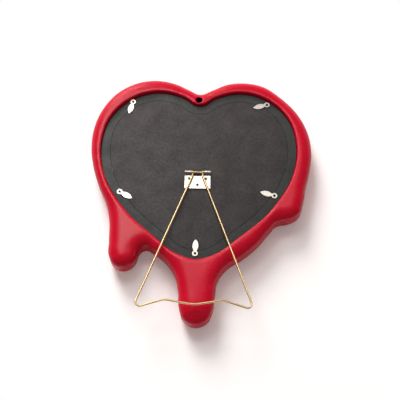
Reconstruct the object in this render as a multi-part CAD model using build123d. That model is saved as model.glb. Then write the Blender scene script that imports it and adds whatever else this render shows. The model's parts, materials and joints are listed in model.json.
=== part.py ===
from build123d import *
import math
import os

# A heart shaped photo frame whose rim is moulded as if it were melting: one long
# drip hangs below the tip of the heart, one from its left flank and one from its
# right. The frame lies face down, with its back up.
# +X runs to the right as the back is looked at, +Y to the lobes of the heart and
# +Z out of the back. The row's origin is the middle of the outline's box, on the
# plane that the front crest rests on. Until each piece is placed there, it is drawn
# about the tip of the back recess, with X = 0 on the heart's own middle line.

# Frame body
recess_w = 221.0          # back recess, across both lobes
recess_h = 206.8          # back recess, from its tip to the tops of the lobes
rim_w = 13.0              # mean width of the rim around the recess
drip_w = 38.0             # the drip below the tip: width
drip_len = 70.5           # and how far it hangs below the tip of the recess
frame_t = 30.0            # front crest to back plateau
recess_d = 5.0            # back plateau down to the black backing
back_round = 7.8          # rounding of the outer edge, at the back
front_round = 9.5         # and at the front
recess_round = 1.5        # rounding of the recess's edge
ledge_w = 7.0             # shelf that the backing ring is glued to
lip_w = 8.0               # lip in front of the glass
window_round = 8.0        # rounding of the window's front edge
side_land = 2.0           # least straight wall left between two roundings
crest_land = 0.05         # least flat left between the back's two roundings

# Glazing and backing
glass_t = 2.0
photo_t = 0.3
card_t = 2.2
panel_t = 3.0
ring_w = 10.3             # fixed outer band of the backing
ring_gap = 0.8            # ring to the wall of the recess
glass_gap = 0.5           # glass to the wall of its rebate
panel_gap = 0.35          # panel, card and print to the ring's opening

# Hanging hole, blind, in the rim at the notch
hang_r = 4.0
hang_deep = 10.0
hang_wall = 1.9           # left between the hole and the recess
hang_x = -1.0             # beside the heart's middle line

# Hinge plate, of one sheet rolled round its pin
hinge_up = 103.2          # pin above the tip of the recess
hinge_x = -0.45           # and beside the heart's middle line
plate_w = 28.6
plate_len = 19.0          # from the pin to the plate's lower edge
plate_t = 1.2
plate_corner = 0.6
knuckle_w = 7.4
pin_r = 1.3
pin_proud = 0.2           # each end of the pin past the plate
pin_chamfer = 0.25
slit_w = 0.3              # where the rolled sheet comes back to the plate
slit_clear = 1.2          # plate left clear in the middle below the knuckles

# Wire stand
wire_r = 1.1
eye_r = 2.2
eye_t = 1.8
eye_gap = 0.15            # eye and wire to the knuckle beside them
pivot_gap = 0.07          # radial clearance wherever something turns on a pin
stand_len = 160.9         # pin to the corners of the feet, as if they were sharp
stand_w = 126.6           # between those corners
foot_shift = -0.6         # their middle, beside the pin's
leg_lead = 4.2            # straight start of each leg, square to the pin
leg_bend_r = 6.0
foot_bend_r = 4.5
crest_bend_r = 14.0
dip_bend_r = 40.0
crest_w = 62.0            # between the two crests of the foot bar
crest_rise = 10.5         # crests above the line of the corners
dip_rise = 5.2            # middle of the bar above that line
rest_gap = 0.3            # folded stand over the rim

# Screws of the hinge plate
plate_screw_head_r = 1.5
plate_screw_head_t = 0.8
plate_screw_r = 0.8
plate_screw_len = 3.0
plate_screw_w = 18.4      # between the upper two
plate_screw_top = 6.9     # upper two below the pin
plate_screw_low = 14.6    # lower one below the pin

# Turn buttons and their screws
button_r = 3.3
button_len = 16.3         # pivot to the tip of the leaf
button_leaf_w = 6.5
button_t = 0.8
button_edge = 0.25
button_float = 0.1        # under the button, and under its screw's head
neck_w = 2.9
neck_start = 2.7          # where the leaf starts, from the pivot
button_corner = 0.5       # tip of the leaf, and the two hollows beside the neck
pivot_r = 1.0
pivot_head_r = 1.4
pivot_head_t = 0.7
pivot_len = 4.5           # screwed into the backing ring
cross_len = 1.6           # cross recess in the head of each screw
slot_w = 0.5
slot_d = 0.3

overrun = 1.0             # how far a cutter runs past what it cuts
touching = 0.1            # an edge this near an outline follows it
bend_share = 0.92         # most of an outward bend's radius that a rounding may take
straight_share = 1e-6     # sine of a turn that is too slight for an arc

# Right half of the recess's heart, from the notch down to just above the tip: shares
# of half its width, and of its height above the tip.
heart_half_shares = [
    (0.000, 0.917), (0.180, 0.970), (0.415, 1.000), (0.720, 0.951), (0.925, 0.832),
    (1.000, 0.678), (0.949, 0.483), (0.732, 0.284), (0.411, 0.1225), (0.150, 0.0215),
]
heart_tip_share = (0.000, 0.000)

# Outer outline, clockwise as the back is looked at. Shares of half the frame's width
# and of the height of its lobes, both out to the mean rim.
right_side_shares = [
    (0.000, 0.939), (0.106, 0.964), (0.244, 1.002), (0.406, 1.014), (0.585, 0.995),
    (0.765, 0.923), (0.913, 0.828), (1.003, 0.718), (1.031, 0.602), (1.007, 0.488),
    (0.969, 0.400), (0.947, 0.325), (0.900, 0.254), (0.802, 0.223), (0.718, 0.214),
    (0.637, 0.165), (0.545, 0.099), (0.402, 0.027),
]
left_side_shares = [
    (-0.372, 0.050), (-0.445, 0.071), (-0.500, 0.047), (-0.518, 0.009), (-0.561, -0.025),
    (-0.633, -0.041), (-0.709, -0.028), (-0.759, 0.019), (-0.768, 0.105), (-0.777, 0.205),
    (-0.812, 0.294), (-0.893, 0.398), (-0.950, 0.491), (-0.990, 0.616), (-0.979, 0.730),
    (-0.902, 0.853), (-0.763, 0.951), (-0.575, 1.009), (-0.405, 1.022), (-0.226, 1.001),
    (-0.096, 0.964),
]
# The drip below the tip: shares of half its width, and of its length.
drip_shares = [
    (1.757, -0.076), (1.262, -0.271), (1.099, -0.558), (1.005, -0.760), (0.690, -0.935),
    (0.030, -1.000), (-0.590, -0.925), (-0.870, -0.740), (-0.956, -0.470), (-1.172, -0.223),
    (-1.734, 0.006),
]

# Pivots of the turn buttons, as shares of half the recess's width and of its height,
# and the heading of each leaf in degrees from +X.
button_places = {
    "upper_left": ((-0.700, 0.937), 255.0),
    "upper_right": ((0.699, 0.930), 195.6),
    "left": ((-0.780, 0.382), -28.5),
    "right": ((0.766, 0.373), 164.5),
    "bottom": ((-0.010, 0.037), 88.0),
}

half_w = recess_w / 2 + rim_w
lobe_h = recess_h + rim_w

# Levels above the plane of the front crest
backing_z = frame_t - recess_d
panel_z = backing_z - panel_t
card_z = panel_z - card_t
glass_top_z = card_z - photo_t
lip_t = glass_top_z - glass_t
knuckle_r = pin_r + plate_t
pin_z = backing_z + knuckle_r
plate_top_z = backing_z + plate_t
button_z = backing_z + button_float

knuckle_in = plate_w / 2 - knuckle_w
eye_x = knuckle_in - eye_gap - max(eye_t / 2, wire_r)


def unit(vector):
    return vector * (1 / vector.length)


def headings(points):
    """The direction of a smooth closed line at each point, from its two neighbours."""
    result = []
    for before, here, after in zip(points[-1:] + points[:-1], points, points[1:] + points[:1]):
        back = here - before
        ahead = after - here
        result.append(unit(unit(back) * ahead.length + unit(ahead) * back.length))
    return result


def arc_or_line(start, end, heading):
    """An arc that leaves start along heading, or a line where it would be straight."""
    if abs(unit(end - start).cross(heading).Z) < straight_share:
        return Line(start, end)
    return TangentArc(start, end, tangent=heading)


def flowing_face(points):
    """A face inside a closed line of arcs that run smoothly through the points."""
    points = [Vector(x, y, 0) for x, y in points]
    ways = headings(points)
    edges = []
    for i, start in enumerate(points):
        j = (i + 1) % len(points)
        end, way_in, way_out = points[j], ways[i], ways[j]
        chord = end - start
        square = 2 * (1 - way_in.dot(way_out))
        linear = 2 * chord.dot(way_in + way_out)
        constant = chord.dot(chord)
        root = math.sqrt(linear * linear + 4 * square * constant)
        reach = 2 * constant / (linear + root)
        middle = (start + way_in * reach + end - way_out * reach) * 0.5
        turn = unit(end - way_out * reach - start - way_in * reach)
        edges.append(arc_or_line(start, middle, way_in))
        edges.append(arc_or_line(middle, end, turn))
    return make_face(edges)


def heart_face():
    """The outline of the back recess."""
    right = [(x * recess_w / 2, y * recess_h) for x, y in heart_half_shares]
    tip = (heart_tip_share[0] * recess_w / 2, heart_tip_share[1] * recess_h)
    left = [(-x, y) for x, y in reversed(right[1:])]
    return flowing_face(right + [tip] + left)


def melted_face():
    """The outline of the whole frame."""
    right = [(x * half_w, y * lobe_h) for x, y in right_side_shares]
    drip = [(x * drip_w / 2, y * drip_len) for x, y in drip_shares]
    left = [(x * half_w, y * lobe_h) for x, y in left_side_shares]
    return flowing_face(right + drip + left)


recess_face = heart_face()
outline_face = melted_face()
notch_y = heart_half_shares[0][1] * recess_h
outline_box = outline_face.bounding_box()
origin = Vector(outline_box.center().X, outline_box.center().Y, 0)


def rim_crossing():
    """How far below the pin a folded leg comes over the rim's plateau."""
    top = (hinge_x + eye_x, hinge_up - leg_lead)
    leg = Line(top, (hinge_x + foot_shift + stand_w / 2, hinge_up - stand_len))
    inside = leg & offset(recess_face, recess_round)
    return hinge_up - inside.bounding_box().min.Y


# The stand folds until its legs are rest_gap over the rim.
rest_rise = frame_t + rest_gap + wire_r - pin_z
rest_angle = math.degrees(math.atan(rest_rise / rim_crossing()))


def slab(face, low, high):
    """A face drawn at z = 0, made solid from low to high."""
    return Pos(0, 0, low) * extrude(face, high - low)


def inset(amount):
    """The recess's heart, drawn in by an amount on every side."""
    return offset(recess_face, -amount)


def cylinder_up(radius, low, high):
    cylinder = Cylinder(radius, high - low, align=(Align.CENTER, Align.CENTER, Align.MIN))
    return Pos(0, 0, low) * cylinder


def cone_up(low_r, high_r, low, high):
    cone = Cone(low_r, high_r, high - low, align=(Align.CENTER, Align.CENTER, Align.MIN))
    return Pos(0, 0, low) * cone


def edges_on(solid, face, level):
    """The edges of a solid at a level that follow the outline of a face."""
    outline = (Pos(0, 0, level) * face).face().outer_wire()
    near = [e for e in solid.edges() if abs(e.center().Z - level) < touching]
    return [e for e in near if outline.distance_to(e @ 0.5) < touching]


def tightest_bend(face):
    """The least radius of the arcs that bend outwards."""
    arcs = [e for e in face.edges() if e.geom_type == GeomType.CIRCLE]
    return min(e.radius for e in arcs if face.face().is_inside(e.arc_center))


def narrowest_rim():
    """The least distance from the recess out to the frame's outline."""
    return outline_face.face().outer_wire().distance_to(recess_face.face().outer_wire())


def frame_body():
    """Melted rim, with the stepped recess, the window and the hanging hole."""
    most = tightest_bend(outline_face) * bend_share
    back = min(back_round, most, narrowest_rim() - recess_round - crest_land)
    front = min(front_round, most, frame_t - back - side_land)
    body = extrude(outline_face, frame_t)
    body = fillet(edges_on(body, outline_face, frame_t), back)
    body = fillet(edges_on(body, outline_face, 0), front)
    window_face = inset(ledge_w + lip_w)
    body -= slab(recess_face, glass_top_z, frame_t + overrun)
    body -= slab(inset(ledge_w), lip_t, glass_top_z + overrun)
    body -= slab(window_face, -overrun, lip_t + overrun)
    body = fillet(edges_on(body, window_face, 0), min(window_round, lip_t - side_land))
    body = fillet(edges_on(body, recess_face, frame_t), recess_round)
    hang_y = notch_y + hang_wall + hang_r
    hole = cylinder_up(hang_r, frame_t - hang_deep, frame_t + overrun)
    return body - Pos(hang_x, hang_y, 0) * hole


def button_spots():
    """Name, pivot and leaf heading of each turn button."""
    for name, ((x, y), heading) in button_places.items():
        yield name, (x * recess_w / 2, y * recess_h), heading


def backing_ring():
    """Fixed outer band of the backing, with a hole for each turn button's screw."""
    ring = slab(inset(ring_gap), glass_top_z, backing_z)
    ring -= slab(inset(ring_w), glass_top_z - overrun, backing_z + overrun)
    for _, (x, y), _ in button_spots():
        ring -= Pos(x, y, 0) * cylinder_up(pivot_r, backing_z - pivot_len, backing_z + overrun)
    return ring


def plate_screw_spots():
    """Names and places of the hinge plate's screws."""
    high_y = hinge_up - plate_screw_top
    return {
        "left": (hinge_x - plate_screw_w / 2, high_y),
        "right": (hinge_x + plate_screw_w / 2, high_y),
        "low": (hinge_x, hinge_up - plate_screw_low),
    }


def backing_panel():
    """Removable heart of the backing, that the turn buttons hold in."""
    panel = slab(inset(ring_w + panel_gap), panel_z, backing_z)
    for x, y in plate_screw_spots().values():
        low = plate_top_z - plate_screw_len
        panel -= Pos(x, y, 0) * cylinder_up(plate_screw_r, low, backing_z + overrun)
    return panel


def bar_x(radius, length):
    """A round bar along X on the pin's axis."""
    return Pos(hinge_x, hinge_up, pin_z) * Rot(0, 90, 0) * Cylinder(radius, length)


def countersunk(low):
    """A countersunk screw's shank, from a level, and its head in the hinge plate."""
    head_low = plate_top_z - plate_screw_head_t
    shank = cylinder_up(plate_screw_r, low, head_low)
    return shank + cone_up(plate_screw_r, plate_screw_head_r, head_low, plate_top_z)


def plate_screw(x, y):
    """Countersunk screw, its head flush with the hinge plate."""
    screw = countersunk(plate_top_z - plate_screw_len)
    return Pos(x, y, 0) * (screw - cross_recess(plate_top_z))


def cross_recess(level):
    """The cross that a driver turns a screw by, cut down from a level."""
    depth = slot_d + overrun
    place = Pos(0, 0, level - slot_d + depth / 2)
    return place * (Box(cross_len, slot_w, depth) + Box(slot_w, cross_len, depth))


def hinge_plate():
    """Sheet with two knuckles rolled from its upper edge, and the gap between them."""
    lower_y = hinge_up - plate_len
    sheet = Pos(hinge_x, (hinge_up + lower_y) / 2, 0) * Rectangle(plate_w, plate_len)
    corners = sheet.vertices().filter_by(lambda v: v.Y < hinge_up - plate_len / 2)
    sheet = fillet(corners, plate_corner)
    plate = slab(sheet, backing_z, plate_top_z) + bar_x(knuckle_r, plate_w)
    notch_h = knuckle_r + slit_clear
    notch = Rectangle(2 * knuckle_in, 2 * notch_h)
    cutter = slab(notch, backing_z - overrun, pin_z + knuckle_r + overrun)
    plate -= Pos(hinge_x, hinge_up, 0) * cutter
    plate -= bar_x(pin_r, plate_w + 2 * overrun)
    slit = Box(plate_w + 2 * overrun, knuckle_r, slit_w)
    slit_y = hinge_up - knuckle_r / 2 - pin_r / 2
    plate -= Pos(hinge_x, slit_y, plate_top_z + slit_w / 2) * slit
    for x, y in plate_screw_spots().values():
        plate -= Pos(x, y, 0) * countersunk(backing_z - overrun)
    return plate


def hinge_pin():
    """Pin through the knuckles and the eyes of the stand."""
    pin = bar_x(pin_r, plate_w + 2 * pin_proud)
    ends = pin.edges().filter_by(GeomType.CIRCLE)
    return chamfer(ends, pin_chamfer)


def stand_path():
    """Middle line of the wire, flat, with the pin's axis along Y = 0."""
    feet_y = -stand_len
    bar = [
        (stand_w / 2, feet_y), (crest_w / 2, feet_y + crest_rise), (0, feet_y + dip_rise),
        (-crest_w / 2, feet_y + crest_rise), (-stand_w / 2, feet_y),
    ]
    points = [(eye_x, 0), (eye_x, -leg_lead)]
    points += [(x + foot_shift, y) for x, y in bar]
    points += [(-eye_x, -leg_lead), (-eye_x, 0)]
    bends = [leg_bend_r, foot_bend_r, crest_bend_r]
    return FilletPolyline(*points, radius=bends + [dip_bend_r] + bends[::-1])


def wire_stand():
    """Bent wire with an eye at each end, folded down until it lies over the rim."""
    path = stand_path()
    section = Plane(origin=path @ 0, z_dir=path % 0) * Circle(wire_r)
    wire = sweep(section, path=path)
    for side in (-1, 1):
        wire += Pos(side * eye_x, 0, 0) * Rot(0, 90, 0) * Cylinder(eye_r, eye_t)
    hole = Rot(0, 90, 0) * Cylinder(pin_r + pivot_gap, 2 * (eye_x + eye_t + wire_r))
    return Pos(hinge_x, hinge_up, pin_z) * Rot(-rest_angle, 0, 0) * (wire - hole)


def leaf_face():
    """Turn button seen flat: a round end with its hole, and a pointed leaf along +X."""
    widest = (neck_start + button_len) / 2
    upper = ThreePointArc(
        (neck_start, neck_w / 2), (widest, button_leaf_w / 2), (button_len, 0)
    )
    lower = ThreePointArc(
        (button_len, 0), (widest, -button_leaf_w / 2), (neck_start, -neck_w / 2)
    )
    root = Line((neck_start, -neck_w / 2), (neck_start, neck_w / 2))
    return make_face([upper, lower, root]) + Circle(button_r)


def turn_button(x, y, heading):
    """Stamped turn button on its screw, free to turn over the backing."""
    outline = leaf_face()
    outline = fillet(outline.vertices().filter_by(lambda v: abs(v.Y) < neck_w), button_corner)
    button = slab(outline, button_z, button_z + button_t)
    rim = button.edges().group_by(Axis.Z)[-1]
    button = fillet(rim, button_edge)
    button -= cylinder_up(pivot_r + pivot_gap, button_z - overrun, button_z + button_t + overrun)
    return Pos(x, y, 0) * Rot(0, 0, heading) * button


def button_screw(x, y):
    """Screw that a turn button turns on, driven into the backing ring."""
    head_z = button_z + button_t + button_float
    shank = cylinder_up(pivot_r, backing_z - pivot_len, head_z)
    head = cylinder_up(pivot_head_r, head_z, head_z + pivot_head_t)
    head = fillet(head.edges().group_by(Axis.Z)[-1], pivot_head_t / 2)
    return Pos(x, y, 0) * (shank + head - cross_recess(head_z + pivot_head_t))


def save(name, piece):
    """Put a piece where the row's origin is the middle of the outline's box."""
    export_step(Pos(-origin.X, -origin.Y, 0) * piece, f"parts/{name}.step")


os.makedirs("parts", exist_ok=True)
save("frame_body", frame_body())
save("glass_pane", slab(inset(ledge_w + glass_gap), lip_t, glass_top_z))
save("photo_print", slab(inset(ring_w + panel_gap), glass_top_z, card_z))
save("filler_card", slab(inset(ring_w + panel_gap), card_z, panel_z))
save("backing_ring", backing_ring())
save("backing_panel", backing_panel())
save("hinge_plate", hinge_plate())
save("hinge_pin", hinge_pin())
save("wire_stand", wire_stand())
for name, (x, y) in plate_screw_spots().items():
    save(f"hinge_plate_screw_{name}", plate_screw(x, y))
for name, (x, y), heading in button_spots():
    save(f"turn_button_{name}", turn_button(x, y, heading))
    save(f"turn_button_screw_{name}", button_screw(x, y))
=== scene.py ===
import json
import math

import bmesh
import bpy
import numpy as np
from mathutils import Matrix, Vector
from mathutils.geometry import delaunay_2d_cdt


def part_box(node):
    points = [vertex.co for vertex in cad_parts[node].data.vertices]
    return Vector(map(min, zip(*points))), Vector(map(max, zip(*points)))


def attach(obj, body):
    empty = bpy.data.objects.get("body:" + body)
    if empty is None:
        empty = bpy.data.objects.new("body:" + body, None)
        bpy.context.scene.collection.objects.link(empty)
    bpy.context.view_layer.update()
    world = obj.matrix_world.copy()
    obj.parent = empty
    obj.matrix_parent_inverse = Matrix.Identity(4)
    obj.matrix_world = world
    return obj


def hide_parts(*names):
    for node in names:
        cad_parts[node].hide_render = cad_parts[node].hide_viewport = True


# A heart shaped photo frame, lying face down: its finishes, its melted rim, the stage, lamps and camera

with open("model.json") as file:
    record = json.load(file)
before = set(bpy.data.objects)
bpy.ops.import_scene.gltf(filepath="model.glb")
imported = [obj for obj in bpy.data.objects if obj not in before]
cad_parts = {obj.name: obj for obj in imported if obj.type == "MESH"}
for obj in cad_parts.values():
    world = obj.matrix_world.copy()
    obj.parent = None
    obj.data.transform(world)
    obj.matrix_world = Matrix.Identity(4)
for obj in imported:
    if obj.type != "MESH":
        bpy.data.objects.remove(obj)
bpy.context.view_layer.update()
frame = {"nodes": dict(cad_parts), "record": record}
nodes = frame["nodes"]

mm = 0.001

# Camera: it looks down at the frame's back, from the side of the drips and a little to the right
picture_width = 400.0
focal_length_pixels = 909.0
sensor_width = 36.0
target_above_panel_tip = 69.85 * mm
target_pixel_x = 197.56
target_pixel_y = 190.0
camera_distance = 1.0
camera_elevation = math.radians(65.0)
camera_yaw = math.radians(2.816)
camera_roll = math.radians(-1.574)

# Stage: sizes in metres, the rest as shares
floor_radius = 6.0
floor_sides = 96
lit_floor_radius = 0.16
white_floor_radius = 0.30
floor_lift = 0.13
lamp_tint = (1.0, 0.98, 0.965)
fill_tint = (1.0, 0.80, 0.75)
fill_level = 0.23
ceiling_level = 0.06
horizon_level = 0.8
glossy_share = 0.1
sweep_low = 0.15
sweep_high = 0.5
sweep_turn = 0.35

# Cast body: how its section rolls over, from the depth in from an outline. The back's roll widens
# down the long drip, from tip_start to tip_end. The crown is the strip of the back beside the recess.
wall_low = 12.0 * mm
wall_high = 21.0 * mm
back_reach = 17.0 * mm
tip_reach = 24.0 * mm
tip_start = -95.0 * mm
tip_end = -145.0 * mm
back_fullness = 2.4
front_reach = 12.0 * mm
front_fullness = 2.2
window_reach = 8.0 * mm
window_fullness = 2.0
edge_radius = 1.6 * mm
crown_width = 3.6 * mm
crown_slope = 0.14
hole_edge = 0.5 * mm
thin_wall = 0.3 * mm

# Cast body: how finely its mesh is made
line_step = 1.4 * mm
row_slack = line_step / 10
hole_gap = line_step * 0.8
grid_step = 3.0 * mm
roll_angles = [math.radians(a) for a in (0, 6, 12, 19, 27, 35, 43, 51)]
edge_angles = [math.radians(a) for a in (90, 75, 60, 45, 30, 15, 0)]
inner_depths = [d * mm for d in (1.4, 2.8, 4.4, 6.2, 8.2)]
hole_edge_shares = ((1, 0), (0.3, 0.3), (0, 1))
hole_points = 44
easing_rounds = 3
points_at_once = 400
crease_angle = math.radians(48)
cut_weld = 0.001 * mm
cut_slack = 0.0001 * mm
seam_weld = 0.005 * mm
same_point = 1e-9
tiny = 1e-12

# Finishes
noise_span = (0.3, 0.7)
speck_sharpness = 30.0
# Painted light on the black board: its colour is scaled from darker to lighter along this way, over this
# span, by these shares
painted_light_way = (-0.5, 0.85, 0.0)
painted_light_span = (-0.1, 0.12)
painted_light_tones = (0.80, 2.0)
scuff_height = 0.000002
scuff_roughness = 0.06
ridge_waves = 45.0
ridge_sharpness = 900.0

# The print's two hills: level and height in metres, phase, colour
hills = ((-0.012, 0.011, 0.8, (0.20, 0.23, 0.22, 1)),
         (-0.034, 0.008, 3.1, (0.075, 0.095, 0.075, 1)))

BUTTONS = ["upper_left", "upper_right", "left", "right", "bottom"]
PLATE_SCREWS = ["left", "right", "low"]


# Shader helpers

def shader_group(name, inputs, outputs):
    """A new shader node group with its input and output sockets."""
    group = bpy.data.node_groups.new(name, "ShaderNodeTree")
    for label, kind, value in inputs:
        socket = group.interface.new_socket(label, in_out="INPUT", socket_type=kind)
        socket.default_value = value
    for label, kind in outputs:
        group.interface.new_socket(label, in_out="OUTPUT", socket_type=kind)
    return group


def add(tree, kind, values=None, **settings):
    """A node with its settings, and its input sockets set by name or by number."""
    node = tree.nodes.new(kind)
    for key, value in settings.items():
        setattr(node, key, value)
    for key, value in (values or {}).items():
        if isinstance(value, bpy.types.NodeSocket):
            tree.links.new(value, node.inputs[key])
        else:
            node.inputs[key].default_value = value
    return node


def maths(tree, operation, first, second=0.0, clamp=False):
    """The result of one sum."""
    node = add(tree, "ShaderNodeMath", {0: first, 1: second}, operation=operation, use_clamp=clamp)
    return node.outputs[0]


def mixed(tree, factor, first, second, blend="MIX"):
    """A mix of two colours, whose sockets on the node are numbers 6 and 7 in, and 2 out."""
    node = add(tree, "ShaderNodeMix", {0: factor, 6: first, 7: second}, data_type="RGBA", blend_type=blend)
    return node.outputs[2]


def remap(tree, value, low, high, to_low, to_high):
    """A value carried over from one range to another, and held inside it."""
    node = add(tree, "ShaderNodeMapRange", {"Value": value, "From Min": low, "From Max": high,
                                            "To Min": to_low, "To Max": to_high})
    return node.outputs[0]


def group_ends(group):
    """Where a group's inputs come in and where its results go out."""
    return group.nodes.new("NodeGroupInput"), group.nodes.new("NodeGroupOutput")


def mottle_group():
    """Broad clouds with finer ones over them, from 0 to 1."""
    group = shader_group("Mottle", [
        ("Cloud Size", "NodeSocketFloat", 0.015),
        ("Fine Size", "NodeSocketFloat", 0.002),
        ("Fine Share", "NodeSocketFloat", 0.3),
    ], [("Clouds", "NodeSocketFloat")])
    source, result = group_ends(group)
    place = add(group, "ShaderNodeTexCoord").outputs["Object"]
    broad_scale = maths(group, "DIVIDE", 1.0, source.outputs["Cloud Size"])
    fine_scale = maths(group, "DIVIDE", 1.0, source.outputs["Fine Size"])
    broad = add(group, "ShaderNodeTexNoise", {"Vector": place, "Scale": broad_scale, "Detail": 4.0,
                                              "Roughness": 0.6})
    fine = add(group, "ShaderNodeTexNoise", {"Vector": place, "Scale": fine_scale, "Detail": 2.0,
                                             "Roughness": 0.5})
    share = source.outputs["Fine Share"]
    broad_part = maths(group, "MULTIPLY", broad.outputs["Fac"], maths(group, "SUBTRACT", 1.0, share))
    fine_part = maths(group, "MULTIPLY", fine.outputs["Fac"], share)
    total = maths(group, "ADD", broad_part, fine_part)
    spread = remap(group, total, *noise_span, 0.0, 1.0)
    group.links.new(spread, result.inputs["Clouds"])
    return group


def specks_group():
    """Small scattered specks, 1 at a speck and 0 between."""
    group = shader_group("Specks", [
        ("Spacing", "NodeSocketFloat", 0.004),
        ("Reach", "NodeSocketFloat", 0.12),
    ], [("Mask", "NodeSocketFloat")])
    source, result = group_ends(group)
    place = add(group, "ShaderNodeTexCoord").outputs["Object"]
    scale = maths(group, "DIVIDE", 1.0, source.outputs["Spacing"])
    cells = add(group, "ShaderNodeTexVoronoi", {"Vector": place, "Scale": scale, "Randomness": 1.0})
    picked = add(group, "ShaderNodeSeparateColor", {0: cells.outputs["Color"]}).outputs[0]
    reach = maths(group, "MULTIPLY", source.outputs["Reach"], picked)
    edge = maths(group, "SUBTRACT", reach, cells.outputs["Distance"])
    mask = maths(group, "MULTIPLY", edge, speck_sharpness, clamp=True)
    group.links.new(mask, result.inputs["Mask"])
    return group


def ripple_group():
    """Height of a hand finished surface in metres: slow waves with a fine paint peel over them."""
    group = shader_group("Cast Ripple", [
        ("Wave Size", "NodeSocketFloat", 0.018),
        ("Wave Height", "NodeSocketFloat", 0.0001),
        ("Peel Size", "NodeSocketFloat", 0.0011),
        ("Peel Height", "NodeSocketFloat", 0.000004),
    ], [("Height", "NodeSocketFloat")])
    source, result = group_ends(group)
    place = add(group, "ShaderNodeTexCoord").outputs["Object"]
    total = None
    for size, height in (("Wave Size", "Wave Height"), ("Peel Size", "Peel Height")):
        scale = maths(group, "DIVIDE", 1.0, source.outputs[size])
        noise = add(group, "ShaderNodeTexNoise", {"Vector": place, "Scale": scale, "Detail": 1.0})
        part = maths(group, "MULTIPLY", noise.outputs["Fac"], source.outputs[height])
        total = part if total is None else maths(group, "ADD", total, part)
    group.links.new(total, result.inputs["Height"])
    return group


def scuff_group():
    """Fine scratches along one way, from 0 to 1."""
    group = shader_group("Fine Scuffs", [
        ("Across", "NodeSocketVector", (1500.0, 90.0, 1500.0)),
    ], [("Lines", "NodeSocketFloat")])
    source, result = group_ends(group)
    place = add(group, "ShaderNodeTexCoord").outputs["Object"]
    stretched = add(group, "ShaderNodeVectorMath", {0: place, 1: source.outputs["Across"]},
                    operation="MULTIPLY").outputs[0]
    noise = add(group, "ShaderNodeTexNoise", {"Vector": stretched, "Scale": 1.0, "Detail": 3.0,
                                              "Roughness": 0.7})
    lines = remap(group, noise.outputs["Fac"], *noise_span, 0.0, 1.0)
    group.links.new(lines, result.inputs["Lines"])
    return group


MOTTLE = mottle_group()
SPECKS = specks_group()
RIPPLE = ripple_group()
SCUFFS = scuff_group()


def use(tree, group, values=None):
    """A node group placed in a material with its own values."""
    node = tree.nodes.new("ShaderNodeGroup")
    node.node_tree = group
    for key, value in (values or {}).items():
        node.inputs[key].default_value = value
    return node.outputs[0]


def finish_material(name):
    """A new material, its node tree and its Principled shader."""
    material = bpy.data.materials.new(name)
    material.use_nodes = True
    tree = material.node_tree
    return material, tree, tree.nodes["Principled BSDF"]


def bump(tree, height):
    """The normal of a surface with this height in metres."""
    node = add(tree, "ShaderNodeBump", {"Height": height, "Distance": 1.0, "Strength": 1.0})
    return node.outputs["Normal"]


def mixed_surface(tree, factor, first, second):
    """Two shaders, mixed, as the material's surface."""
    both = add(tree, "ShaderNodeMixShader", {0: factor, 1: first, 2: second})
    tree.links.new(both.outputs[0], tree.nodes["Material Output"].inputs["Surface"])


def seen_share(tree, rays):
    """1 for rays that see the white surroundings straight or through glass, a small share for glints."""
    seen = maths(tree, "MAXIMUM", rays.outputs["Is Camera Ray"], rays.outputs["Is Transmission Ray"])
    return maths(tree, "ADD", seen, maths(tree, "MULTIPLY", rays.outputs["Is Glossy Ray"], glossy_share))


def red_resin():
    """Glossy crimson enamel over cast resin."""
    material, tree, shader = finish_material("red enamelled resin")
    clouds = use(tree, MOTTLE, {"Cloud Size": 0.03, "Fine Size": 0.0016, "Fine Share": 0.2})
    specks = use(tree, SPECKS, {"Spacing": 0.006, "Reach": 0.05})
    colour = mixed(tree, clouds, (0.48, 0.0012, 0.0165, 1), (0.56, 0.0022, 0.024, 1))
    colour = mixed(tree, maths(tree, "MULTIPLY", specks, 0.35), colour, (0.2, 0.002, 0.008, 1))
    tree.links.new(colour, shader.inputs["Base Color"])
    tree.links.new(remap(tree, clouds, 0.0, 1.0, 0.23, 0.29), shader.inputs["Roughness"])
    shader.inputs["Specular IOR Level"].default_value = 0.33
    height = use(tree, RIPPLE, {"Wave Size": 0.02, "Wave Height": 0.00008})
    tree.links.new(bump(tree, height), shader.inputs["Normal"])
    return material


def hole_painted_shade():
    """The hanging hole's wall and bottom, nearly black: painted shade for the deep hole."""
    material, tree, shader = finish_material("painted shade in the hanging hole")
    clouds = use(tree, MOTTLE, {"Cloud Size": 0.002, "Fine Size": 0.0005, "Fine Share": 0.4})
    tree.links.new(mixed(tree, clouds, (0.010, 0.003, 0.004, 1), (0.022, 0.006, 0.008, 1)),
                   shader.inputs["Base Color"])
    shader.inputs["Roughness"].default_value = 0.9
    shader.inputs["Specular IOR Level"].default_value = 0.2
    return material


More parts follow.
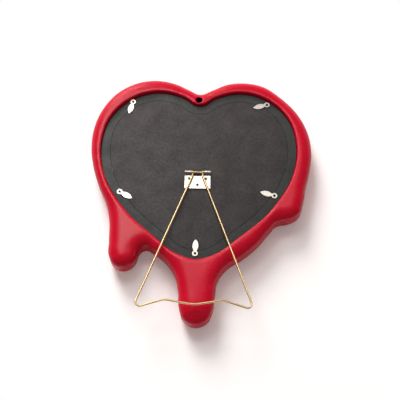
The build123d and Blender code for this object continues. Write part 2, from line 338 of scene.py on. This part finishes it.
def black_board(name, dark, light):
    """Black painted fibreboard, a little uneven in tone, with painted light over it: lighter to the upper
    left, darker to the lower right.
    """
    material, tree, shader = finish_material(name)
    clouds = use(tree, MOTTLE, {"Cloud Size": 0.022, "Fine Size": 0.0028, "Fine Share": 0.42})
    specks = use(tree, SPECKS, {"Spacing": 0.005, "Reach": 0.06})
    colour = mixed(tree, clouds, dark, light)
    shader.inputs["Specular IOR Level"].default_value = 0.3
    place = add(tree, "ShaderNodeTexCoord").outputs["Object"]
    # Painted light: the board's colour grows lighter towards the upper left and darker towards the lower
    # right
    across = add(tree, "ShaderNodeVectorMath", {0: place, 1: painted_light_way}, operation="DOT_PRODUCT")
    painted_light_gradient = remap(tree, across.outputs["Value"], *painted_light_span, *painted_light_tones)
    colour = mixed(tree, 1.0, colour, painted_light_gradient, "MULTIPLY")
    colour = mixed(tree, maths(tree, "MULTIPLY", specks, 0.35), colour, (0.10, 0.09, 0.088, 1))
    tree.links.new(colour, shader.inputs["Base Color"])
    tree.links.new(remap(tree, clouds, 0.0, 1.0, 0.5, 0.36), shader.inputs["Roughness"])
    height = use(tree, RIPPLE, {"Wave Size": 0.006, "Wave Height": 0.00002, "Peel Size": 0.0005,
                                "Peel Height": 0.000012})
    tree.links.new(bump(tree, height), shader.inputs["Normal"])
    return material


def polished_brass(name, colour_dark, colour_light, roughness):
    """Bright plated brass, with a few fine scuffs."""
    material, tree, shader = finish_material(name)
    lines = use(tree, SCUFFS)
    clouds = use(tree, MOTTLE, {"Cloud Size": 0.004, "Fine Size": 0.0006, "Fine Share": 0.3})
    tree.links.new(mixed(tree, clouds, colour_dark, colour_light), shader.inputs["Base Color"])
    shader.inputs["Metallic"].default_value = 1.0
    tree.links.new(remap(tree, lines, 0.0, 1.0, roughness - scuff_roughness, roughness + scuff_roughness),
                   shader.inputs["Roughness"])
    tree.links.new(bump(tree, maths(tree, "MULTIPLY", lines, scuff_height)), shader.inputs["Normal"])
    return material


def dark_steel():
    """Blackened steel of the screws, with paler worn patches."""
    material, tree, shader = finish_material("blackened steel")
    clouds = use(tree, MOTTLE, {"Cloud Size": 0.0012, "Fine Size": 0.0003, "Fine Share": 0.4})
    tree.links.new(mixed(tree, clouds, (0.018, 0.014, 0.012, 1), (0.075, 0.058, 0.045, 1)),
                   shader.inputs["Base Color"])
    shader.inputs["Metallic"].default_value = 0.9
    tree.links.new(remap(tree, clouds, 0.0, 1.0, 0.5, 0.34), shader.inputs["Roughness"])
    return material


def clear_glass():
    """Float glass with faint smears, that lets the lamps through to the print."""
    material, tree, shader = finish_material("clear glass")
    smears = use(tree, MOTTLE, {"Cloud Size": 0.02, "Fine Size": 0.004, "Fine Share": 0.3})
    shader.inputs["Base Color"].default_value = (0.93, 0.97, 0.95, 1)
    tree.links.new(remap(tree, smears, 0.0, 1.0, 0.0, 0.03), shader.inputs["Roughness"])
    shader.inputs["Transmission Weight"].default_value = 1.0
    shader.inputs["IOR"].default_value = 1.5
    rays = add(tree, "ShaderNodeLightPath")
    clear = add(tree, "ShaderNodeBsdfTransparent", {"Color": (0.97, 0.985, 0.98, 1)})
    mixed_surface(tree, rays.outputs["Is Shadow Ray"], shader.outputs[0], clear.outputs[0])
    return material


def print_paper():
    """A plain generic picture: a soft dawn sky over two low hills."""
    material, tree, shader = finish_material("photographic print")
    place = add(tree, "ShaderNodeTexCoord").outputs["Object"]
    split = add(tree, "ShaderNodeSeparateXYZ", {0: place})
    across, up = split.outputs["X"], split.outputs["Y"]
    sky = mixed(tree, remap(tree, up, -0.03, 0.12, 0.0, 1.0), (0.78, 0.50, 0.34, 1),
                (0.32, 0.46, 0.62, 1))
    clouds = use(tree, MOTTLE, {"Cloud Size": 0.05, "Fine Size": 0.012, "Fine Share": 0.3})
    colour = mixed(tree, maths(tree, "MULTIPLY", clouds, 0.35), sky, (0.86, 0.80, 0.74, 1))
    for level, height, phase, tone in hills:
        turn = maths(tree, "ADD", maths(tree, "MULTIPLY", across, ridge_waves), phase)
        wave = maths(tree, "SINE", turn)
        ridge = maths(tree, "ADD", maths(tree, "MULTIPLY", wave, height), level)
        below = maths(tree, "MULTIPLY", maths(tree, "SUBTRACT", ridge, up), ridge_sharpness, clamp=True)
        colour = mixed(tree, below, colour, tone)
    tree.links.new(colour, shader.inputs["Base Color"])
    tree.links.new(remap(tree, clouds, 0.0, 1.0, 0.36, 0.46), shader.inputs["Roughness"])
    return material


def grey_card():
    """Uncoated greyboard."""
    material, tree, shader = finish_material("greyboard")
    clouds = use(tree, MOTTLE, {"Cloud Size": 0.01, "Fine Size": 0.0006, "Fine Share": 0.6})
    tree.links.new(mixed(tree, clouds, (0.30, 0.27, 0.24, 1), (0.42, 0.39, 0.35, 1)),
                   shader.inputs["Base Color"])
    shader.inputs["Roughness"].default_value = 0.9
    return material


# Cast body

def level_lines(node, level):
    """The closed lines that a level plane cuts in a CAD node, the longest first."""
    mesh = bmesh.new()
    mesh.from_mesh(nodes[node].data)
    bmesh.ops.remove_doubles(mesh, verts=mesh.verts, dist=cut_weld)
    everything = mesh.verts[:] + mesh.edges[:] + mesh.faces[:]
    cut = bmesh.ops.bisect_plane(mesh, geom=everything, dist=cut_slack, plane_co=(0, 0, level),
                                 plane_no=(0, 0, 1))["geom_cut"]
    edges = dict.fromkeys(edge for edge in cut if isinstance(edge, bmesh.types.BMEdge))
    lines = []
    while edges:
        first = edges.popitem()[0]
        line = [first.verts[0]]
        here = first.verts[1]
        while here is not line[0]:
            line.append(here)
            onward = next(edge for edge in here.link_edges if edge in edges)
            del edges[onward]
            here = onward.other_vert(here)
        lines.append(np.array([vert.co.xy for vert in line]))
    mesh.free()
    return sorted(lines, key=lambda line: -steps(line).sum())


def steps(line):
    """How long each step of a closed line is."""
    return np.linalg.norm(np.roll(line, -1, axis=0) - line, axis=1)


def even_line(line):
    """The same closed line anticlockwise, with points evenly apart and eased a little."""
    ahead = np.roll(line, -1, axis=0)
    if (line[:, 0] * ahead[:, 1] - line[:, 1] * ahead[:, 0]).sum() < 0:
        line = line[::-1]
    along = np.concatenate([[0], np.cumsum(steps(line))])
    places = np.linspace(0, along[-1], round(along[-1] / line_step), endpoint=False)
    closed = np.vstack([line, line[:1]])
    even = np.stack([np.interp(places, along, closed[:, axis]) for axis in (0, 1)], axis=1)
    for _ in range(easing_rounds):
        even = (np.roll(even, 1, axis=0) + 2 * even + np.roll(even, -1, axis=0)) / 4
    return even


def outward(line):
    """The direction out of an anticlockwise line at each of its points."""
    way = np.roll(line, -1, axis=0) - np.roll(line, 1, axis=0)
    way /= np.linalg.norm(way, axis=1)[:, None]
    return np.stack([way[:, 1], -way[:, 0]], axis=1)


def distance(points, line):
    """How far each point is from a closed line."""
    start, run = line, np.roll(line, -1, axis=0) - line
    length = (run ** 2).sum(1)
    result = []
    for batch in np.array_split(points, max(1, len(points) // points_at_once)):
        away = batch[:, None] - start[None]
        share = np.clip((away * run).sum(2) / length, 0, 1)
        result.append(np.linalg.norm(away - share[:, :, None] * run, axis=2).min(1))
    return np.concatenate(result)


def inside(points, line):
    """Whether each point is inside a closed line."""
    x, y = points[:, 0:1], points[:, 1:2]
    ahead = np.roll(line, -1, axis=0)
    spans = (line[:, 1] > y) != (ahead[:, 1] > y)
    slope = (ahead[:, 0] - line[:, 0]) / (ahead[:, 1] - line[:, 1] + tiny)
    return (spans & (x < line[:, 0] + slope * (y - line[:, 1]))).sum(1) % 2 == 1


def fall(depth, reach, fullness):
    """Share of the full drop left at a depth in from an edge: 1 at it, 0 from the reach on."""
    share = np.clip(1 - depth / reach, 0, 1)
    return 1 - np.sqrt(1 - share ** fullness)


def filling(rims, height_of, depths=()):
    """Points and triangles that fill the plan between rims, the first round the others."""
    outer, holes = rims[0], rims[1:]
    way = outward(outer)
    low, high = outer.min(0), outer.max(0)
    plans = [(outer - way * depth, depth - row_slack) for depth in depths]
    if depths:
        grid = np.stack(np.meshgrid(np.arange(low[0], high[0], grid_step),
                                    np.arange(low[1], high[1], grid_step)), axis=-1)
        grid[1::2, :, 0] += grid_step / 2
        plans.append((grid.reshape(-1, 2), depths[-1] + line_step))
    flat = list(rims)
    for plan, least in plans:
        keep = inside(plan, outer) & (distance(plan, outer) > least)
        for hole in holes:
            keep &= ~inside(plan, hole) & (distance(plan, hole) > hole_gap)
        flat.append(plan[keep])
    sides, start = [], 0
    for rim in rims:
        sides += [(start + i, start + (i + 1) % len(rim)) for i in range(len(rim))]
        start += len(rim)
    found = delaunay_2d_cdt([Vector(point) for point in np.vstack(flat)], sides, [], 0, same_point)
    plan = np.array([tuple(point) for point in found[0]])
    faces = np.array(found[2])
    middles = plan[faces].mean(1)
    keep = inside(middles, outer)
    for hole in holes:
        keep &= ~inside(middles, hole)
    return at_height(plan, height_of(plan)), faces[keep]


def at_height(plan, height):
    """Points of a plan with their height or heights."""
    return np.column_stack([plan, np.broadcast_to(height, len(plan))])


def circle(middle, radius):
    """Points evenly round a circle."""
    turn = np.linspace(0, 2 * math.pi, hole_points, endpoint=False)
    return middle + radius * np.stack([np.cos(turn), np.sin(turn)], axis=1)


class Shell:
    """Points and faces gathered for one closed mesh."""

    def __init__(self):
        self.points = []
        self.faces = []
        self.finishes = []

    def put(self, points, faces, finish=0):
        """Add points, and faces that count from the first of them."""
        base = len(self.points)
        self.points += [tuple(point) for point in points]
        self.faces += [tuple(base + int(i) for i in face) for face in faces]
        self.finishes += [finish] * len(faces)

    def strip(self, rings, finish=0):
        """Faces between closed rings with as many points each."""
        count = len(rings[0])
        for first, second in zip(rings, rings[1:]):
            quads = [(i, (i + 1) % count, count + (i + 1) % count, count + i) for i in range(count)]
            self.put(np.vstack([first, second]), quads, finish)

    def item(self, name, materials):
        """A smooth object of the gathered faces, with its real edges kept sharp."""
        data = bpy.data.meshes.new(name)
        data.from_pydata(self.points, [], self.faces)
        data.polygons.foreach_set("material_index", self.finishes)
        mesh = bmesh.new()
        mesh.from_mesh(data)
        bmesh.ops.remove_doubles(mesh, verts=mesh.verts, dist=seam_weld)
        bmesh.ops.recalc_face_normals(mesh, faces=mesh.faces)
        for face in mesh.faces:
            face.smooth = True
        for edge in mesh.edges:
            edge.smooth = edge.calc_face_angle(0) < crease_angle
        mesh.to_mesh(data)
        mesh.free()
        for material in materials:
            data.materials.append(material)
        item = bpy.data.objects.new(name, data)
        bpy.context.scene.collection.objects.link(item)
        return item


def cast_rim(materials):
    """The melted rim: its section rolls softly over all round, as a resin casting's does."""
    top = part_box("frame_body")[1].z
    lip_level, ledge_level = (corner.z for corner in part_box("glass_pane"))
    outer, window = (even_line(line) for line in level_lines("frame_body", (wall_low + wall_high) / 2))
    recess = even_line(level_lines("frame_body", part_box("backing_panel")[0].z)[1])
    rebate = even_line(level_lines("frame_body", (lip_level + ledge_level) / 2)[1])
    mount = next(m for m in frame["record"]["mounts"] if m["name"] == "hanging_hole")
    hole_middle = np.array(mount["pos_m"][:2])
    hole_radius, hole_depth = mount["dims"]["r_mm"] * mm, mount["dims"]["length_mm"] * mm

    def back_height(plan):
        """The back: it rolls down to the wall outside, and slopes a little to the recess inside."""
        crown = np.clip(crown_width - distance(plan, recess), 0, None)
        reach = np.interp(plan[:, 1], [tip_end, tip_start], [tip_reach, back_reach])
        share = fall(distance(plan, outer) - crown, reach, back_fullness)
        return top - (top - wall_high) * share - crown_slope * crown ** 2 / crown_width

    def front_height(plan):
        """The front: level at its crest, and rolled up to the wall and to the window."""
        from_outer = wall_low * fall(distance(plan, outer), front_reach, front_fullness)
        from_window = window_reach * fall(distance(plan, window), window_reach, window_fullness)
        return np.maximum(from_outer, from_window)

    # The outer wall and the roll at both of its ends
    shell = Shell()
    out = outward(outer)
    plans = [outer - out * back_reach * (1 - math.cos(angle)) for angle in roll_angles]
    back = [at_height(plan, back_height(plan)) for plan in plans]
    front = [at_height(plan, front_height(plan)) for plan in plans]
    back[0][:, 2], front[0][:, 2] = wall_high, wall_low
    shell.strip(front[::-1] + back)

    # The rounded edge of the recess, tighter beside the hanging hole, and the wall under it
    room = np.linalg.norm(recess - hole_middle, axis=1) - hole_radius - hole_edge - thin_wall
    radius = np.clip(room, hole_edge, edge_radius)[:, None]
    rolled = []
    for angle in edge_angles:
        plan = recess + outward(recess) * radius * (1 - math.cos(angle))
        drop = radius[:, 0] * (1 - math.sin(angle))
        rolled.append(at_height(plan, back_height(plan) - drop))
    shell.strip(rolled + [at_height(recess, ledge_level)])

    # The hanging hole: its eased edge, and its wall and bottom in painted shade
    eased = []
    for out_share, down_share in hole_edge_shares:
        plan = circle(hole_middle, hole_radius + hole_edge * out_share)
        eased.append(at_height(plan, back_height(plan) - hole_edge * down_share))
    bottom = at_height(eased[-1][:, :2], top - hole_depth)
    shell.strip(eased)
    shell.strip([eased[-1], bottom], 1)
    shell.put(bottom, [range(len(bottom))], 1)

    # The back, the ledge, the rebate round the glass, the lip, the window's edge and the front
    shell.put(*filling([plans[-1], rolled[0][:, :2], eased[0][:, :2]], back_height, inner_depths))
    shell.put(*filling([recess, rebate], lambda plan: ledge_level))
    shell.strip([at_height(rebate, ledge_level), at_height(rebate, lip_level)])
    shell.put(*filling([rebate, window], lambda plan: lip_level))
    sides = [window + outward(window) * window_reach * (1 - math.cos(angle)) for angle in roll_angles]
    edge = [at_height(plan, front_height(plan)) for plan in sides]
    edge[0][:, 2] = window_reach
    shell.strip([at_height(window, lip_level)] + edge)
    shell.put(*filling([plans[-1], sides[-1]], front_height, inner_depths))

    item = shell.item("melted_rim", materials)
    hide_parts("frame_body")
    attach(item, "frame")


def paint(node, material):
    """Give a CAD node its finish."""
    slots = nodes[node].data.materials
    slots.clear()
    slots.append(material)


def dress():
    """Every CAD node's finish."""
    # The rim's red resin, and the painted shade inside its hanging hole
    cast_rim([red_resin(), hole_painted_shade()])
    paint("backing_ring", black_board("black board edge band", (0.013, 0.0155, 0.015, 1),
                                      (0.031, 0.034, 0.033, 1)))
    paint("backing_panel", black_board("black board panel", (0.013, 0.011, 0.012, 1),
                                       (0.034, 0.030, 0.030, 1)))
    paint("glass_pane", clear_glass())
    paint("photo_print", print_paper())
    paint("filler_card", grey_card())
    sheet = polished_brass("bright brass sheet", (0.70, 0.665, 0.585, 1), (0.77, 0.745, 0.68, 1), 0.36)
    wire = polished_brass("brass wire", (0.95, 0.70, 0.34, 1), (0.99, 0.79, 0.46, 1), 0.31)
    steel = dark_steel()
    paint("hinge_plate", sheet)
    paint("hinge_pin", wire)
    paint("wire_stand", wire)
    for name in PLATE_SCREWS:
        paint(f"hinge_plate_screw_{name}", steel)
    for name in BUTTONS:
        paint(f"turn_button_{name}", sheet)
        paint(f"turn_button_screw_{name}", steel)


# Stage, lamps and camera

def white_floor():
    """A pale floor that holds the frame's shadow, and fades to plain white further out."""
    bpy.ops.mesh.primitive_circle_add(vertices=floor_sides, radius=floor_radius, fill_type="NGON")
    floor = bpy.context.object
    floor.name = "floor"
    material, tree, shader = finish_material("white floor")
    shader.inputs["Base Color"].default_value = (0.93, 0.925, 0.92, 1)
    shader.inputs["Roughness"].default_value = 1.0
    shader.inputs["Specular IOR Level"].default_value = 0.0
    place = add(tree, "ShaderNodeTexCoord").outputs["Object"]
    away = add(tree, "ShaderNodeVectorMath", {0: place}, operation="LENGTH").outputs["Value"]
    fade = remap(tree, away, lit_floor_radius, white_floor_radius, 0.0, 1.0)
    white = add(tree, "ShaderNodeEmission", {"Color": (1, 1, 1, 1), "Strength": 1.0})
    seen = seen_share(tree, add(tree, "ShaderNodeLightPath"))
    lift = add(tree, "ShaderNodeEmission", {"Color": (1, 1, 1, 1),
                                            "Strength": maths(tree, "MULTIPLY", seen, floor_lift)})
    near = add(tree, "ShaderNodeAddShader", {0: shader.outputs[0], 1: lift.outputs[0]})
    mixed_surface(tree, fade, near.outputs[0], white.outputs[0])
    floor.data.materials.append(material)


def studio_world():
    """A studio: a white sweep behind the lobes, dark elsewhere, and a warm fill for matt surfaces."""
    world = bpy.data.worlds.new("studio")
    bpy.context.scene.world = world
    world.use_nodes = True
    tree = world.node_tree
    way = add(tree, "ShaderNodeTexCoord").outputs["Generated"]
    split = add(tree, "ShaderNodeSeparateXYZ", {0: way})
    low = remap(tree, split.outputs["Z"], sweep_low, sweep_high, 1.0, 0.0)
    behind = remap(tree, split.outputs["Y"], -sweep_turn, sweep_turn, 0.0, 1.0)
    sweep = maths(tree, "MULTIPLY", low, behind)
    level = remap(tree, sweep, 0.0, 1.0, ceiling_level, horizon_level)
    rays = add(tree, "ShaderNodeLightPath")
    seen = seen_share(tree, rays)
    fill = maths(tree, "MULTIPLY", rays.outputs["Is Diffuse Ray"], fill_level)
    level = maths(tree, "ADD", maths(tree, "MAXIMUM", level, seen), fill)
    tree.links.new(level, tree.nodes["Background"].inputs["Strength"])
    colour = mixed(tree, seen, (*fill_tint, 1), (1, 1, 1, 1))
    tree.links.new(colour, tree.nodes["Background"].inputs["Color"])


def hang(name, lamp, way):
    """A lamp's object, turned to shine along a way."""
    item = bpy.data.objects.new(name, lamp)
    bpy.context.scene.collection.objects.link(item)
    item.rotation_mode = "QUATERNION"
    item.rotation_quaternion = way.to_track_quat("-Z", "Y")
    return item


def softbox(name, place, aim, width, height, power):
    """An area lamp that faces a point."""
    lamp = bpy.data.lights.new(name, "AREA")
    lamp.shape = "RECTANGLE"
    lamp.size = width
    lamp.size_y = height
    lamp.energy = power
    lamp.color = lamp_tint
    hang(name, lamp, Vector(aim) - Vector(place)).location = place


def far_lamp(name, elevation, azimuth, strength, spread):
    """A lamp far behind the lobes that gives shape and shadow, but no glint of its own."""
    lamp = bpy.data.lights.new(name, "SUN")
    lamp.energy = strength
    lamp.angle = math.radians(spread)
    up, round_z = math.radians(elevation), math.radians(azimuth)
    towards = Vector((math.cos(up) * math.sin(round_z), math.cos(up) * math.cos(round_z), math.sin(up)))
    hang(name, lamp, -towards).visible_glossy = False


def lamps():
    """Three softboxes for the glints and two far lamps for the shadow, in metres, watts and degrees."""
    softbox("left softbox", place=(-0.36, 0.575, 1.03), aim=(-0.02, 0.05, 0.0),
            width=0.48, height=0.65, power=3.9)
    softbox("upper left softbox", place=(-0.5, 1.1, 0.6), aim=(-0.05, 0.05, 0.0),
            width=0.5, height=0.6, power=2.6)
    softbox("ceiling glow", place=(0.06, 0.46, 1.1), aim=(0.04, 0.0, 0.0),
            width=0.84, height=0.36, power=1.6)
    far_lamp("far lamp", elevation=31.0, azimuth=-20.0, strength=2.2, spread=24.0)
    far_lamp("low far lamp", elevation=25.0, azimuth=-26.0, strength=0.6, spread=34.0)


def photo_camera():
    """The camera of the photograph, set from the frame's own place in it."""
    data = bpy.data.cameras.new("camera")
    data.sensor_width = sensor_width
    data.lens = focal_length_pixels / picture_width * sensor_width
    data.shift_x = (picture_width / 2 - target_pixel_x) / picture_width
    data.shift_y = (target_pixel_y - picture_width / 2) / picture_width
    cos_up, sin_up = math.cos(camera_elevation), math.sin(camera_elevation)
    back = Vector((cos_up * math.sin(camera_yaw), -cos_up * math.cos(camera_yaw), sin_up))
    right = Vector((math.cos(camera_yaw), math.sin(camera_yaw), 0.0))
    up = back.cross(right)
    right, up = (right * math.cos(camera_roll) + up * math.sin(camera_roll),
                 up * math.cos(camera_roll) - right * math.sin(camera_roll))
    turn = Matrix((right, up, back)).transposed().to_4x4()
    camera = bpy.data.objects.new("camera", data)
    bpy.context.scene.collection.objects.link(camera)
    low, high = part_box("backing_panel")
    target = Vector(((low.x + high.x) / 2, low.y + target_above_panel_tip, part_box("frame_body")[1].z))
    camera.matrix_world = Matrix.Translation(target + back * camera_distance) @ turn
    bpy.context.scene.camera = camera


dress()
white_floor()
studio_world()
lamps()
photo_camera()
bpy.context.scene.view_settings.view_transform = "Standard"
